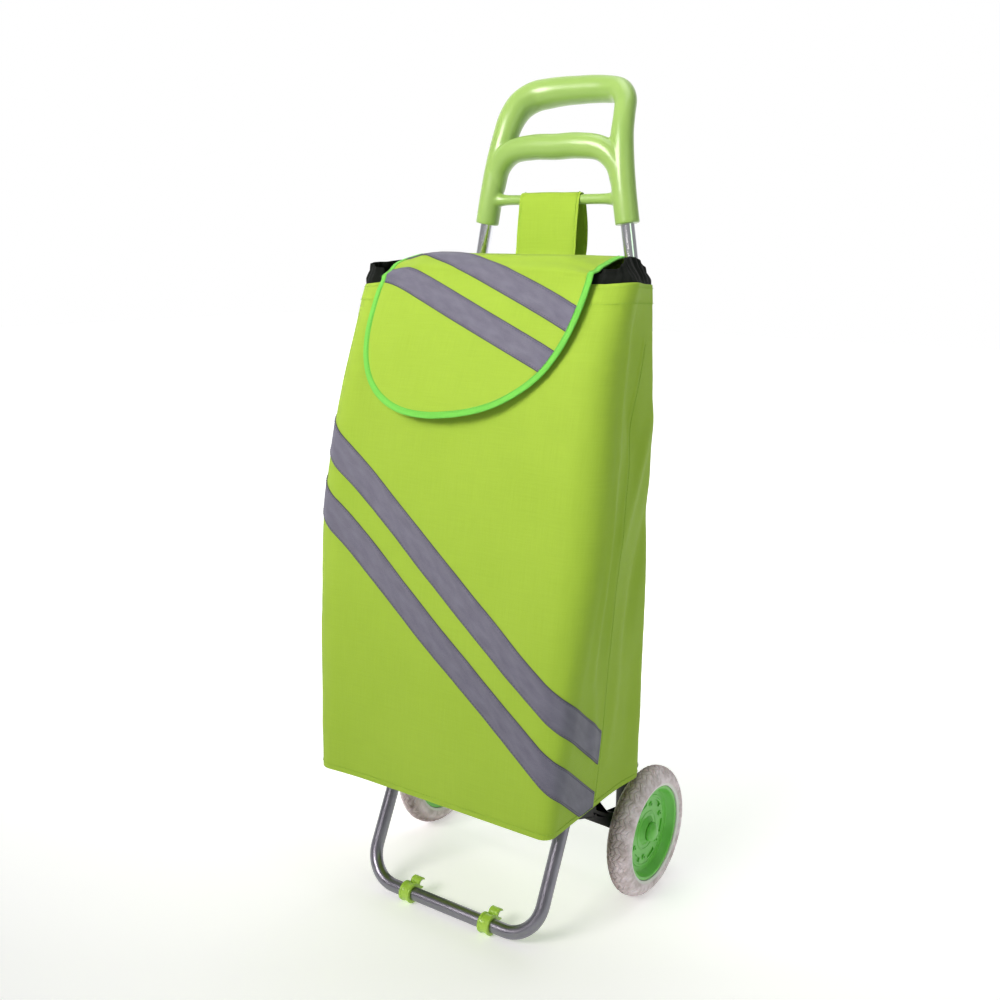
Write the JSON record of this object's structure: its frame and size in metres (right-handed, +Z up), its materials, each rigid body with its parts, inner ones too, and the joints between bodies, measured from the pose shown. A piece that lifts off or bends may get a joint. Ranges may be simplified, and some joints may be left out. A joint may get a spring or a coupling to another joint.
{
  "type": "two-wheeled shopping trolley",
  "caption": "Wheeled shopping trolley: a soft flap-topped bag on steel uprights, with a moulded handle and a folding front foot.",
  "frame": {"origin": "on the floor, below the middle of the whole trolley's box", "axes": "+Z up; the bag's front faces -Y; +X runs along the axle, to the right as seen from the front"},
  "size_m": [0.3689, 0.308, 0.9735],
  "materials": {
    "lime_fabric": "plain-woven coated polyester",
    "piping_fabric": "bias-cut binding tape",
    "grey_tape": "ribbed reflective tape",
    "black_fabric": "thin woven nylon",
    "hardboard": "pressed hardboard",
    "bright_steel": "bright plated tube",
    "satin_steel": "satin plated tube",
    "zinc_steel": "zinc plated",
    "handle_plastic": "moulded, gloss",
    "clip_plastic": "moulded, gloss",
    "black_plastic": "moulded, fine texture",
    "hub_plastic": "moulded, gloss",
    "bush_nylon": "natural nylon",
    "tyre_foam": "moulded foam with a block tread"
  },
  "bodies": {
    "frame": {"bag_body": "lime_fabric", "carry_strap": "lime_fabric", "rear_tie_right": "lime_fabric", "rear_tie_left": "lime_fabric", "bag_tape_upper": "grey_tape", "bag_tape_lower": "grey_tape", "drawstring_collar": "black_fabric", "base_board": "hardboard", "upright_right": "bright_steel", "upright_left": "bright_steel", "cross_tube": "bright_steel", "axle": "zinc_steel", "foot_pivot_rod": "zinc_steel", "pivot_washer_right": "zinc_steel", "pivot_washer_left": "zinc_steel", "axle_washer_right": "zinc_steel", "axle_washer_left": "zinc_steel", "bracket_screw_right": "zinc_steel", "bracket_screw_left": "zinc_steel", "handle_screw_right": "zinc_steel", "handle_screw_left": "zinc_steel", "handle": "handle_plastic", "wheel_bracket_right": "black_plastic", "wheel_bracket_left": "black_plastic", "axle_cap_right": "hub_plastic", "axle_cap_left": "hub_plastic"},
    "wheel_right": {"tyre_right": "tyre_foam", "hub_right": "hub_plastic", "wheel_bush_right": "bush_nylon"},
    "wheel_left": {"tyre_left": "tyre_foam", "hub_left": "hub_plastic", "wheel_bush_left": "bush_nylon"},
    "foot": {"foot_loop": "satin_steel", "snap_clip_right": "clip_plastic", "snap_clip_left": "clip_plastic"},
    "flap_top": {"flap_top": "lime_fabric"},
    "flap_front": {"flap_front": "lime_fabric", "flap_binding": "piping_fabric", "flap_tape_upper": "grey_tape", "flap_tape_lower": "grey_tape"}
  },
  "joints": [
    {"name": "wheel_right_spin", "type": "hinge", "parent": "frame", "child": "wheel_right", "pos_m": [0.159, 0.074, 0.08], "axis": [1, 0, 0], "continuous": true},
    {"name": "wheel_left_spin", "type": "hinge", "parent": "frame", "child": "wheel_left", "pos_m": [-0.159, 0.074, 0.08], "axis": [1, 0, 0], "continuous": true},
    {"name": "foot_fold", "type": "hinge", "parent": "frame", "child": "foot", "pos_m": [0, -0.05, 0.152], "axis": [1, 0, 0], "range_deg": [0, 80]},
    {"name": "flap_lift", "type": "hinge", "parent": "frame", "child": "flap_top", "pos_m": [0, 0.035, 0.767], "axis": [-1, 0, 0], "range_deg": [0, 90]},
    {"name": "flap_unfold", "type": "hinge", "parent": "flap_top", "child": "flap_front", "pos_m": [0, -0.044, 0.767], "axis": [-1, 0, 0], "range_deg": [0, 63]}
  ],
  "couplings": [
    {"joint": "flap_unfold", "follows": "flap_lift", "ratio": 0.7}
  ]
}
